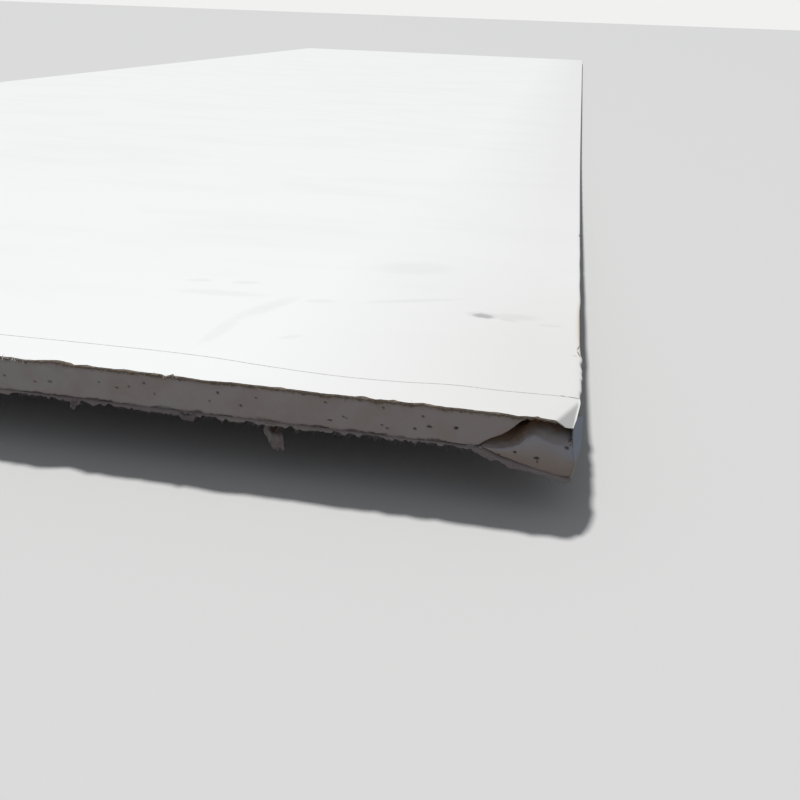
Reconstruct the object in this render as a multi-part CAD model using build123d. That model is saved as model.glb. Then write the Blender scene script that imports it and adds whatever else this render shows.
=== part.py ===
from build123d import *
import math
import os

# One full sheet of paper-faced gypsum wallboard, lying face up. Sizes are in millimetres.
# X runs across the sheet and Y along it, with the cut and damaged end at -Y. Z is up.
# The sheet lies flat on the floor, apart from its near end, which has set in a gentle upward bow.
# The corner at +X, -Y has been knocked: its core has snapped and hangs down in the back paper.

# The sheet
SHEET_WIDTH = 1219.2
SHEET_LENGTH = 3657.6
THICKNESS = 15.9
EDGE_ROUND = 1.2

# The bow at the near end
BOW_RUN = 1100.0
BOW_LIFT = 25.5

# The papers: the face paper folds round both long edges and laps under the back paper
FACE_PAPER = 0.4
BACK_PAPER = 0.4
EDGE_RETURN = 28.0
BACK_PAPER_INSET = 8.0

# The face paper's near edge is torn back by up to this much
FACE_TEAR = 0.9

# The torn lip of back paper below the near end, and the strip that hangs from it
LIP_LENGTH = 2.6
LIP_TEAR = 1.3
LIP_ANGLE = 65.0
TAB_FROM_EDGE = 120.9
TAB_WIDTH = 9.0
TAB_LENGTH = 13.0
TAB_ANGLE = 84.0

# A torn edge is a sum of waves, each a wavelength and its share of the depth of the tear
TORN_WAVES = ((61.0, 0.4), (23.0, 0.35), (9.7, 0.25))
TORN_PITCH = 4.0

# The snapped corner: its hinge runs from the near end to the right edge
HINGE_ACROSS = 37.5
HINGE_BACK = 62.0
DROOP_ANGLE = 16.6
CRACK_RUN = 19.2
CRACK_LIP = 2.0
CORNER_LAP = 0.5
TEAR_BELOW_ROUND = 0.4

# The crushed corner's side stands proud of the long edge at the near end, and leans in below
SIDE_SPLAY = 1.3
SIDE_LEAN = 3.8

# The dog-ear of face paper over the snapped corner
FLAP_ACROSS = 7.5
FLAP_BACK = 24.0
FLAP_ANGLE = 28.0

# Knocks in the right long edge: how far each is behind the corner, its length and its depth
NICKS = ((9.0, 9.0, 0.9), (42.0, 22.0, 0.6), (86.0, 31.0, 0.8), (305.0, 8.0, 1.1))
NICK_HEIGHT = 4.5

# Shape of the crack in the core, and of the broken piece's worn side of it: a point that its
# first arc passes through and the point where its second arc starts, as shares of the crack's
# run and of the thickness. It starts on the underside, and breaks up steeply through the face
# at its lip.
CRACK_SHAPE = ((0.34, 0.25), (0.6, 0.62))
WORN_SHAPE = ((0.42, 0.2), (0.68, 0.5))

# Outline of the hanging strip from its left end round its torn foot to its right end, as
# shares of its width and length
TAB_OUTLINE = (
    (-0.5, 0.0),
    (-0.55, 0.24),
    (-0.18, 0.96),
    (0.02, 0.88),
    (0.15, 1.0),
    (0.28, 0.9),
    (0.42, 0.97),
    (0.46, 0.6),
    (0.38, 0.22),
    (0.46, 0.0),
)

bow_radius = (BOW_RUN**2 + BOW_LIFT**2) / (2 * BOW_LIFT)
bow_angle = math.degrees(math.asin(BOW_RUN / bow_radius))

far_end = (0, SHEET_LENGTH / 2, 0)
bow_start = (0, BOW_RUN - SHEET_LENGTH / 2, 0)
near_end = (0, -SHEET_LENGTH / 2, BOW_LIFT)

# The line that the underside follows, and the plane across the far end
underside = Line(far_end, bow_start) + TangentArc(bow_start, near_end, tangent=(0, -1, 0))
far_plane = Plane(origin=far_end, x_dir=(1, 0, 0), z_dir=(0, -1, 0))

# At the near end: x across the sheet, y back along it and z up through it, from its underside
near_plane = Plane(
    origin=near_end,
    x_dir=(1, 0, 0),
    z_dir=(0, math.sin(math.radians(bow_angle)), math.cos(math.radians(bow_angle))),
)

# The flat on the core's arris that leaves the folded paper as thick there as it is elsewhere
arris_flat = (2 - math.sqrt(2)) * (EDGE_ROUND - FACE_PAPER)

right_edge = SHEET_WIDTH / 2
reach = HINGE_ACROSS + HINGE_BACK
hinge_length = math.hypot(HINGE_ACROSS, HINGE_BACK)
hinge_along = (HINGE_ACROSS / hinge_length, HINGE_BACK / hinge_length, 0)
hinge_out = (HINGE_BACK / hinge_length, -HINGE_ACROSS / hinge_length, 0)
hinge_foot = (right_edge - HINGE_ACROSS, 0, 0)

# At the snapped corner the edge paper has torn along its length at this height
tear_height = THICKNESS - EDGE_ROUND - TEAR_BELOW_ROUND


def along_sheet(section):
    """Runs a section of the sheet from its far end to its near end."""
    return sweep(far_plane * section, path=underside)


def band(half_width, low, high):
    """A strip of the sheet's section, centred across it, from one height to another."""
    return Pos(0, (low + high) / 2) * Rectangle(2 * half_width, high - low)


def core_body_section():
    """The core inside the folded face paper, its arrises pressed flat by the fold."""
    section = band(SHEET_WIDTH / 2 - FACE_PAPER, BACK_PAPER + FACE_PAPER, THICKNESS - FACE_PAPER)
    return chamfer(section.vertices(), arris_flat)


def torn(x, depth):
    """How far a torn edge is eaten back at a place across the sheet."""
    share = sum(part * (1 + math.sin(2 * math.pi * x / wave)) / 2 for wave, part in TORN_WAVES)
    return depth * share


def torn_line(half_width, edge):
    """Points along a torn edge from left to right, each at edge(x) back from the near end."""
    steps = math.ceil(2 * half_width / TORN_PITCH)
    places = [half_width * (2 * step / steps - 1) for step in range(steps + 1)]
    return [(x, edge(x)) for x in places]


def beyond_hinge(lap, low, high):
    """The upright block over the snapped corner, reaching a lap back past the hinge."""
    outline = Plane(origin=hinge_foot, x_dir=hinge_out, z_dir=(0, 0, 1))
    block = outline * (Pos(reach / 2 - lap, 0) * Rectangle(reach, 4 * reach))
    return Pos(0, 0, low) * extrude(block, high - low)


def corner_column(inset):
    """The upright column that the crushed corner fills, splayed out of the right long edge."""
    side = Pos(right_edge - inset - reach, HINGE_BACK, 0) * Box(2 * reach, 2 * reach, 4 * reach)
    splay = math.degrees(math.atan(SIDE_SPLAY / HINGE_BACK))
    splayed = side.rotate(Axis((right_edge, HINGE_BACK, 0), (0, 0, 1)), splay)
    leaning = splayed.rotate(Axis((right_edge, 0, tear_height), (0, 1, 0)), SIDE_LEAN)
    before_end = Pos(right_edge, -reach, 0) * Box(4 * reach, 2 * reach, 4 * reach)
    return leaning - before_end


def corner_slab(low, high):
    """A layer of the sheet from one height to another, wider and longer than the corner."""
    half_width = right_edge + reach
    layer = from_near_end(along_sheet(band(half_width, low, high)))
    ahead = Pos(0, -reach / 2, (low + high) / 2) * Box(2 * half_width, reach, high - low)
    return (layer + ahead) & (Pos(right_edge, 0, 0) * Box(2 * reach, 4 * reach, 4 * reach))


def past_crack(shape):
    """All that lies on the corner's side of a crack of the given shape."""
    across = Plane(
        origin=hinge_foot,
        x_dir=hinge_out,
        z_dir=tuple(-part for part in hinge_along),
    )
    through, turn = [(run * CRACK_RUN, rise * THICKNESS) for run, rise in shape]
    foot = (0, 0)
    lip = (CRACK_RUN - CRACK_LIP, THICKNESS - CRACK_LIP)
    lower = ThreePointArc(foot, through, turn)
    upper = TangentArc(turn, lip, tangent=lower % 1)
    rest = Polyline(
        lip,
        (CRACK_RUN, 2 * THICKNESS),
        (reach, 2 * THICKNESS),
        (reach, -THICKNESS),
        (0, -THICKNESS),
        foot,
    )
    return extrude(across * make_face(lower + upper + rest), 2 * reach, both=True)


def drooped(shape):
    """Hangs a piece of the corner, given at the near end's plane, about the hinge."""
    hinge = Axis(
        (hinge_foot[0], hinge_foot[1], BACK_PAPER),
        hinge_along,
    )
    return shape.rotate(hinge, DROOP_ANGLE)


def column_layer(inset, low, high):
    """What the corner's column holds of a layer of the sheet that hangs about the hinge."""
    return corner_column(inset) & drooped(corner_slab(low, high))


def at_near_end(shape):
    """Puts a shape that is drawn at the near end in its place on the sheet."""
    return near_plane.location * shape


def from_near_end(shape):
    """Brings a shape on the sheet to the near end's own plane."""
    return near_plane.location.inverse() * shape


def make_core_blank():
    """The whole gypsum core, before the corner snaps."""
    pad = band(SHEET_WIDTH / 2 - EDGE_RETURN, BACK_PAPER, THICKNESS / 2)
    return along_sheet(core_body_section() + pad)


def make_face_blank():
    """The face paper, folded round both long edges and onto the back, before it tears."""
    outside = band(SHEET_WIDTH / 2, BACK_PAPER, THICKNESS)
    folded = fillet(outside.vertices(), EDGE_ROUND)
    window = band(SHEET_WIDTH / 2 - EDGE_RETURN, -THICKNESS, THICKNESS / 2)
    return along_sheet(folded - core_body_section() - window)


def make_face_tear():
    """What is torn off the near edge of the face paper, at the near end's plane."""
    line = torn_line(SHEET_WIDTH / 2 + EDGE_ROUND, lambda x: torn(x, FACE_TEAR))
    outline = Polyline(*line, (line[-1][0], -THICKNESS), (line[0][0], -THICKNESS), close=True)
    return Pos(0, 0, tear_height) * extrude(make_face(outline), THICKNESS)


def make_nicks():
    """The knocks in the right long edge's upper arris, at the near end's plane."""
    nicks = []
    for behind, length, depth in NICKS:
        radius = (length**2 / 4 + depth**2) / (2 * depth)
        centre = (right_edge - depth + radius, HINGE_BACK + behind, THICKNESS)
        nicks.append(Pos(*centre) * Cylinder(radius, 2 * NICK_HEIGHT))
    return nicks


def make_back_blank():
    """The back paper with its torn lip and hanging strip, at the near end's plane."""
    half_width = SHEET_WIDTH / 2 - BACK_PAPER_INSET
    sheet = from_near_end(along_sheet(band(half_width, 0, BACK_PAPER)))
    fold = Axis((0, 0, BACK_PAPER), (1, 0, 0))
    line = torn_line(half_width, lambda x: torn(x, LIP_TEAR) - LIP_LENGTH)
    lip = extrude(make_face(Polyline(*line, (half_width, 0), (-half_width, 0), close=True)), BACK_PAPER)
    tab_points = [(across * TAB_WIDTH, -down * TAB_LENGTH) for across, down in TAB_OUTLINE]
    tab = Pos(right_edge - TAB_FROM_EDGE, 0) * extrude(
        make_face(Polyline(*tab_points, close=True)), BACK_PAPER
    )
    return sheet + lip.rotate(fold, LIP_ANGLE) + tab.rotate(fold, TAB_ANGLE)


def return_strip():
    """The strip of the corner's back that the face paper's return covers."""
    return Pos(right_edge - EDGE_RETURN / 2, 0, 0) * Box(EDGE_RETURN, 4 * reach, 4 * reach)


def make_flap(face):
    """The dog-ear: the corner of the face paper, bent down about its crease."""
    mid_paper = THICKNESS - FACE_PAPER / 2
    crease_end = (right_edge, FLAP_BACK, mid_paper)
    crease_start = (right_edge - FLAP_ACROSS, 0, mid_paper)
    direction = Vector(*crease_end) - Vector(*crease_start)
    corner = Polyline(
        (crease_start[0], 0),
        (right_edge, FLAP_BACK),
        (right_edge + reach, FLAP_BACK),
        (right_edge + reach, -reach),
        (crease_start[0], -reach),
        close=True,
    )
    block = Pos(0, 0, tear_height) * extrude(make_face(corner), reach)
    bent = (face & block).rotate(Axis(crease_start, direction), FLAP_ANGLE)
    return face - block + bent


core = from_near_end(make_core_blank()) - past_crack(CRACK_SHAPE)
face_blank = from_near_end(make_face_blank()) - make_face_tear()
back_blank = make_back_blank()

# The corner's papers and core fill its column between the heights that they have in the sheet
corner_side = column_layer(0, BACK_PAPER, tear_height) - corner_column(FACE_PAPER)
corner_back = column_layer(FACE_PAPER, BACK_PAPER, BACK_PAPER + FACE_PAPER)
corner_return = corner_back & drooped(return_strip())
corner_paper = (corner_side + corner_return) & beyond_hinge(CORNER_LAP, -reach, reach)
corner_body = column_layer(FACE_PAPER, BACK_PAPER, THICKNESS - FACE_PAPER)
corner_piece = (corner_body & drooped(past_crack(WORN_SHAPE))) - corner_paper - core

fixed_face = make_flap(face_blank - beyond_hinge(0, -reach, tear_height))
face = fixed_face + (corner_paper - core)
for nick in make_nicks():
    core = core - nick
    face = face - nick

hanging_back = drooped(back_blank & beyond_hinge(0, -reach, reach))
back = (back_blank - beyond_hinge(0, -reach, reach)) + hanging_back

nodes = {
    "gypsum_core": core,
    "broken_corner": corner_piece,
    "face_paper": face,
    "back_paper": back,
}

os.makedirs("parts", exist_ok=True)
for name, shape in nodes.items():
    solids = [at_near_end(solid) for solid in shape.solids()]
    export_step(solids[0] if len(solids) == 1 else Compound(solids), f"parts/{name}.step")
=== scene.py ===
import logging
import math
from contextlib import contextmanager
from dataclasses import dataclass
from enum import Enum
from typing import Callable, Iterator, Sequence

import bmesh
import bpy
import numpy as np
from mathutils import Matrix, Vector, noise


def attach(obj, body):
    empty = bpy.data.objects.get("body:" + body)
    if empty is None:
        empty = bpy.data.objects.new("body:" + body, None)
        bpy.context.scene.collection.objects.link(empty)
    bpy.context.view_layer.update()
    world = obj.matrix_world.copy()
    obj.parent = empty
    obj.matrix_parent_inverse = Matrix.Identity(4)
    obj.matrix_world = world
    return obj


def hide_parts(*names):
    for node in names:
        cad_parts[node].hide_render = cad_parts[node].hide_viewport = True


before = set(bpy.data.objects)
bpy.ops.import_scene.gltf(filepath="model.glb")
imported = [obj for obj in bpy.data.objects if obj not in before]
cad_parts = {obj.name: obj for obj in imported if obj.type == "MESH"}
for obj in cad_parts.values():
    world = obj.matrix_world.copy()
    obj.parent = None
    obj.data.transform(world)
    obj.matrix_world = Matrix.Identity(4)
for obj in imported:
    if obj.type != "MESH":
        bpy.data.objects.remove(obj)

# Sizes are in millimetres in the sheet's own directions, until Sheet.place puts them in the
# frame. x is measured from the right long edge, and is negative over the sheet. s runs back
# along the sheet from its near end, and h up from its underside.
MM = 0.001
# Left of this place the near end is out of view, and is finished plainly with fewer vertices
DETAIL_FROM = -262.0
Array = np.ndarray
Piece = bpy.types.Object
Tree = bpy.types.NodeTree
Output = bpy.types.NodeSocket
# Distances from the right long edge, distances back and heights
Places = tuple[Array, Array, Array]
# Waves that a torn line is the sum of: the height, the pitch and the seed of each
Waves = tuple[tuple[float, float, int], ...]
log = logging.getLogger("drywall_sheet")


class Slot(Enum):
    """The record's material slots."""

    GYPSUM = "gypsum"
    FACE = "face_paper"
    BACK = "back_paper"


def ramp(places: Array | float, start: Array | float, end: float) -> Array:
    """Rises evenly from 0 at the start to 1 at the end, and stays level beyond them."""
    return np.clip((np.asarray(places, float) - start) / (end - start), 0, 1)


def peak(places: Array, middle: float, half: float) -> Array:
    """Falls evenly from 1 at the middle to 0 half a width to either side of it."""
    return np.clip(1 - np.abs(places - middle) / half, 0, 1)


def wander(places: Array, pitch: float, seed: int) -> Array:
    """A smooth random line.

    Args:
        places: Where to read the line, in millimetres.
        pitch: Distance between its turns.
        seed: Picks the line.

    Returns:
        Values from -1 to 1, one for each place.
    """
    knots = np.random.default_rng(seed).uniform(-1, 1, 4096)
    steps = np.asarray(places, float) / pitch + 2048
    low = np.floor(steps).astype(int)
    part = steps - low
    part = part * part * (3 - 2 * part)
    return knots[low % 4096] * (1 - part) + knots[(low + 1) % 4096] * part


def torn(places: Array, waves: Waves) -> Array:
    """Adds up the waves of a torn line."""
    return sum(height * wander(places, pitch, seed) for height, pitch, seed in waves)


def roughness(x: Array, s: Array | float, h: Array | float, pitch: float) -> Array:
    """Solid noise from about -1 to 1, with bumps a pitch apart."""
    points = np.stack(np.broadcast_arrays(x, s, h), axis=-1)
    return np.array([noise.noise(Vector(point) / pitch) for point in points])


def spaced(*runs: tuple[float, float, int]) -> Array:
    """Joins evenly divided runs, each given as its start, its end and its divisions."""
    pieces = [np.linspace(low, high, steps, endpoint=False) for low, high, steps in runs]
    return np.append(np.concatenate(pieces), runs[-1][1])


def end_columns(left: float, right: float, coarse: int, fine: int) -> Array:
    """Divides the near end from left to right, finely where it is worked in detail."""
    return spaced((left, DETAIL_FROM, coarse), (DETAIL_FROM, right, fine))


@dataclass(frozen=True)
class Sheet:
    """The whole sheet's size, its bow, and the hinge that its broken corner hangs on."""

    width: float = 1219.2
    length: float = 3657.6
    thickness: float = 15.9
    edge_round: float = 1.2
    face_paper: float = 0.4
    back_paper: float = 0.4
    edge_return: float = 28.0
    back_inset: float = 8.0
    bow_run: float = 1100.0
    bow_lift: float = 25.5
    hinge_across: float = 37.5
    hinge_back: float = 62.0
    droop: float = 16.6
    # The broken corner's underside sags in its middle, and is turned up at its tip
    sag_depth: float = 1.35
    tip_rise: float = 0.9
    # The crack runs straight back this far, and then turns until it follows the hinge
    crack_straight: float = 8.0
    crack_turned: float = 36.0

    @property
    def bow_radius(self) -> float:
        """Radius of the bow's arc."""
        return (self.bow_run**2 + self.bow_lift**2) / (2 * self.bow_lift)

    @property
    def bow_angle(self) -> float:
        """Angle that the bow's arc turns through, in radians."""
        return math.asin(self.bow_run / self.bow_radius)

    @property
    def run(self) -> float:
        """Length of the sheet along its underside."""
        return self.bow_radius * self.bow_angle + self.length - self.bow_run

    @property
    def hinge_length(self) -> float:
        """Length of the broken corner's hinge."""
        return math.hypot(self.hinge_across, self.hinge_back)

    def place(self, x: Array, s: Array, h: Array) -> Array:
        """Puts points of the sheet in the frame.

        Args:
            x: Distances from the right long edge, negative over the sheet.
            s: Distances back from the near end.
            h: Heights above the underside.

        Returns:
            One row of x, y and z in metres for each point.
        """
        x, s, h = np.broadcast_arrays(np.asarray(x, float), s, h)
        arc = self.bow_radius * self.bow_angle
        on_arc = np.clip(s, 0, arc)
        turn = self.bow_angle - on_arc / self.bow_radius
        ahead = np.minimum(s, 0)
        behind = np.maximum(s - arc, 0)
        start = self.bow_run - self.length / 2
        y = start - self.bow_radius * np.sin(turn) + ahead * np.cos(turn) + behind
        z = self.bow_radius * (1 - np.cos(turn)) - ahead * np.sin(turn)
        y = y + h * np.sin(turn)
        z = z + h * np.cos(turn)
        return np.stack([self.width / 2 + x, y, z], axis=-1) * MM

    def past_hinge(self, x: Array, s: Array) -> Array:
        """Distance past the broken corner's hinge, negative on the sound side."""
        run = (np.asarray(x, float) + self.hinge_across) * self.hinge_back
        return (run - np.asarray(s, float) * self.hinge_across) / self.hinge_length

    def along_hinge(self, s: Array) -> Array:
        """How much of a distance back the crack has spent in following the hinge."""
        part = ramp(s, self.crack_straight, self.crack_turned)
        return s * part * part * (3 - 2 * part)

    def sag(self, x: Array, s: Array) -> Array:
        """How far the underside of the broken corner sags below its even slope."""
        part = ramp(self.past_hinge(x, s), 0, 7) * ramp(x, -0.5, -6.5)
        return self.sag_depth * part * ramp(s, 40, 0)

    def hung(self, x: Array, s: Array) -> Array:
        """Finds the height of the underside, which hangs down past the hinge.

        Args:
            x: Distances from the right long edge.
            s: Distances back from the near end.

        Returns:
            Heights, 0 on the sound side of the hinge.
        """
        turned_up = self.tip_rise * ramp(x, -8, -1) ** 2 * ramp(s, 25, 0)
        fall = math.tan(math.radians(self.droop)) * np.maximum(self.past_hinge(x, s), 0)
        return turned_up - fall - self.sag(x, s)


SHEET = Sheet()


def read_points(piece: Piece) -> Array:
    """Reads a piece's vertices.

    Args:
        piece: The piece.

    Returns:
        One row of x, y and z for each vertex.
    """
    flat = np.empty(len(piece.data.vertices) * 3)
    piece.data.vertices.foreach_get("co", flat)
    return flat.reshape(-1, 3)


def write_points(piece: Piece, points: Array) -> None:
    """Moves the piece's vertices to new places."""
    piece.data.vertices.foreach_set("co", np.ascontiguousarray(points, float).ravel())
    piece.data.update()


def number_points(piece: Piece, counts: Sequence[int]) -> None:
    """Moves each vertex of a primitive of size 2 to its own whole numbers."""
    write_points(piece, np.round((read_points(piece) + 1) / 2 * np.array(counts)))


def named(piece: Piece, name: str) -> Piece:
    """Gives a piece and its mesh a name."""
    piece.name = piece.data.name = name
    return piece


def select_alone(piece: Piece) -> None:
    """Selects one piece and makes it active.

    Args:
        piece: The piece.
    """
    bpy.ops.object.select_all(action="DESELECT")
    piece.select_set(True)
    bpy.context.view_layer.objects.active = piece


@contextmanager
def editing(piece: Piece, kind: str = "FACE", action: str = "SELECT") -> Iterator[None]:
    """Holds one piece in edit mode.

    Args:
        piece: The piece.
        kind: What is selected in it: VERT, EDGE or FACE.
        action: SELECT to start with all of it selected, or DESELECT for nothing.

    Yields:
        Nothing. The piece is back in object mode at the end.
    """
    select_alone(piece)
    bpy.ops.object.mode_set(mode="EDIT")
    bpy.ops.mesh.select_mode(type=kind)
    bpy.ops.mesh.select_all(action=action)
    yield
    bpy.ops.object.mode_set(mode="OBJECT")


def flat_grid(name: str, columns: int, rows: int) -> Piece:
    """Adds a grid that is then laid out by its column and row numbers.

    Args:
        name: The piece's name.
        columns: Divisions in x.
        rows: Divisions in y.

    Returns:
        The grid, with each vertex at its own whole numbers.
    """
    bpy.ops.object.select_all(action="DESELECT")
    bpy.ops.mesh.primitive_grid_add(x_subdivisions=columns, y_subdivisions=rows, size=2)
    piece = named(bpy.context.active_object, name)
    number_points(piece, (columns, rows, 0))
    return piece


def divide_along(piece: Piece, axis: int, parts: Sequence[int]) -> None:
    """Divides the edges of a block that run along an axis.

    Args:
        piece: The block.
        axis: 0, 1 or 2 for x, y or z.
        parts: Numbers of pieces to divide into, one after another.
    """
    with editing(piece, "EDGE"):
        for count in parts:
            bpy.ops.mesh.select_all(action="DESELECT")
            shape = bmesh.from_edit_mesh(piece.data)
            for edge in shape.edges:
                way = edge.verts[0].co - edge.verts[1].co
                edge.select = abs(way[axis]) > 0.5 * way.length
            bmesh.update_edit_mesh(piece.data)
            bpy.ops.mesh.subdivide(number_cuts=count - 1, quadcorner="STRAIGHT_CUT")


def block(name: str, wide: Sequence[int], back: Sequence[int], up: Sequence[int]) -> Piece:
    """Adds a block whose vertices are then laid out by their three numbers.

    Args:
        name: The piece's name.
        wide: Numbers whose product is the divisions in x.
        back: The same in y.
        up: The same in z.

    Returns:
        The block, with each vertex at its own whole numbers.
    """
    bpy.ops.object.select_all(action="DESELECT")
    bpy.ops.mesh.primitive_cube_add(size=2)
    piece = named(bpy.context.active_object, name)
    for axis, parts in enumerate((wide, back, up)):
        divide_along(piece, axis, parts)
    number_points(piece, [math.prod(parts) for parts in (wide, back, up)])
    return piece


def delete_faces(piece: Piece, goes: Callable[[Vector], bool]) -> None:
    """Deletes some of a piece's faces.

    Args:
        piece: The piece.
        goes: Tells from the middle of a face whether it goes.
    """
    with editing(piece, action="DESELECT"):
        shape = bmesh.from_edit_mesh(piece.data)
        for face in shape.faces:
            face.select = goes(face.calc_center_median())
        bmesh.update_edit_mesh(piece.data)
        bpy.ops.mesh.delete(type="FACE")


def face_outwards(piece: Piece) -> None:
    """Turns all faces of a closed piece outwards."""
    with editing(piece):
        bpy.ops.mesh.normals_make_consistent(inside=False)


def face_towards(piece: Piece, spot: Sequence[float], way: Sequence[float]) -> None:
    """Turns an open skin over where it faces the wrong way.

    Args:
        piece: The skin.
        spot: A place in the frame: its nearest face is the one that is tested.
        way: The direction that this face is to look in.
    """
    nearest = min(piece.data.polygons, key=lambda face: (face.center - Vector(spot)).length)
    if nearest.normal.dot(Vector(way)) < 0:
        with editing(piece):
            bpy.ops.mesh.flip_normals()


def thicken(piece: Piece, thickness: float, inner: int = 0, rim: int = 0) -> None:
    """Gives an open skin its thickness, on the side that its faces turn away from.

    Args:
        piece: The skin.
        thickness: In millimetres.
        inner: Number of the finish on the inner side.
        rim: Number of the finish on the edges.
    """
    select_alone(piece)
    bpy.ops.object.modifier_add(type="SOLIDIFY")
    wall = piece.modifiers[-1]
    wall.thickness = thickness * MM
    wall.offset = -1
    wall.material_offset = inner
    wall.material_offset_rim = rim
    bpy.ops.object.modifier_apply(modifier=wall.name)


def smooth(piece: Piece, angle: float = 40) -> None:
    """Shades a piece smooth, apart from its edges sharper than an angle in degrees."""
    select_alone(piece)
    bpy.ops.object.shade_smooth_by_angle(angle=math.radians(angle))


def join(name: str, pieces: Sequence[Piece]) -> Piece:
    """Joins pieces into one.

    Args:
        name: Its name.
        pieces: The pieces. The first carries the rest.

    Returns:
        The joined piece.
    """
    select_alone(pieces[0])
    for piece in pieces[1:]:
        piece.select_set(True)
    bpy.ops.object.join()
    return named(bpy.context.active_object, name)


def keep_values(piece: Piece, name: str, values: Array) -> None:
    """Keeps one number for each vertex, for a finish to read."""
    layer = piece.data.attributes.new(name, "FLOAT", "POINT")
    layer.data.foreach_set("value", np.ascontiguousarray(values, float))


# Finishes


def linear(shade: str) -> tuple[float, float, float, float]:
    """Turns an sRGB colour into a linear one.

    Args:
        shade: A hex value such as #F2F2F0.

    Returns:
        Red, green, blue and alpha.
    """
    parts = [int(shade[place : place + 2], 16) / 255 for place in (1, 3, 5)]
    red, green, blue = [
        part / 12.92 if part <= 0.04045 else ((part + 0.055) / 1.055) ** 2.4 for part in parts
    ]
    return red, green, blue, 1.0


def add(
    tree: Tree, kind: str, sockets: dict[str | int, object] | None = None, **settings: object
) -> bpy.types.Node:
    """Adds a node with its settings, and sets or links its inputs.

    Args:
        tree: The material's nodes.
        kind: The node's type.
        sockets: For each input's name or number, a value, a hex colour or the output to link.
        **settings: The node's own settings.

    Returns:
        The new node.
    """
    node = tree.nodes.new(kind)
    for name, value in settings.items():
        setattr(node, name, value)
    for name, value in (sockets or {}).items():
        if isinstance(value, bpy.types.NodeSocket):
            tree.links.new(value, node.inputs[name])
        else:
            node.inputs[name].default_value = linear(value) if isinstance(value, str) else value
    return node


def speckle(
    tree: Tree, place: Output, size: float, detail: float = 3.0, rough: float = 0.6
) -> Output:
    """Noise whose largest features are a size in millimetres."""
    sockets = {"Vector": place, "Scale": 1 / (size * MM), "Detail": detail, "Roughness": rough}
    return add(tree, "ShaderNodeTexNoise", sockets).outputs["Fac"]


def remap(
    tree: Tree, value: Output, low: float, high: float,
    start: float = 0.0, end: float = 1.0, kind: str = "LINEAR",
) -> Output:
    """Maps a value between two limits onto a range, and holds it at the range's ends."""
    sockets = {"Value": value, "From Min": low, "From Max": high, "To Min": start, "To Max": end}
    return add(tree, "ShaderNodeMapRange", sockets, interpolation_type=kind).outputs[0]


def sum_up(tree: Tree, operation: str, first: Output | float, second: Output | float) -> Output:
    """One step of arithmetic."""
    return add(tree, "ShaderNodeMath", {0: first, 1: second}, operation=operation).outputs[0]


def mix(tree: Tree, part: Output, under: Output | str, over: Output | str) -> Output:
    """Lays a colour over another, each a hex value or an output."""
    sockets = {"Factor": part, "A": under, "B": over}
    return add(tree, "ShaderNodeMix", sockets, data_type="RGBA").outputs["Result"]


def tint(tree: Tree, shade: Output, name: str, over: str) -> Output:
    """Mixes a colour in by the vertex value of a name."""
    value = add(tree, "ShaderNodeAttribute", attribute_name=name)
    return mix(tree, value.outputs["Fac"], shade, over)


def start_finish(name: str) -> tuple[bpy.types.Material, Tree, Output]:
    """Starts a material.

    Args:
        name: Its name, after the real material.

    Returns:
        The material, its nodes and its object coordinates.
    """
    material = bpy.data.materials.new(name)
    material.use_nodes = True
    material.node_tree.nodes.clear()
    place = add(material.node_tree, "ShaderNodeTexCoord").outputs["Object"]
    return material, material.node_tree, place


def end_finish(
    tree: Tree, shade: Output, relief: Output, depth: float, rough: float, shine: float = 0.3
) -> None:
    """Ends a material with its shader.

    Args:
        tree: The material's nodes.
        shade: The colour.
        relief: Heights from 0 to 1 of the fine relief.
        depth: Depth of the relief in millimetres.
        rough: Roughness.
        shine: Specular level.
    """
    bump = add(tree, "ShaderNodeBump", {"Height": relief, "Strength": 0.5, "Distance": depth * MM})
    shader = add(
        tree, "ShaderNodeBsdfPrincipled",
        {
            "Base Color": shade, "Roughness": rough, "Specular IOR Level": shine,
            "Normal": bump.outputs["Normal"],
        },
    )
    add(tree, "ShaderNodeOutputMaterial", {"Surface": shader.outputs["BSDF"]})


@dataclass(frozen=True)
class Mark:
    """A mark on the face: its middle, its half sizes across and along the sheet, and its look."""

    x: float
    s: float
    across: float
    along: float
    turn: float
    strength: float
    shade: str


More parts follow.
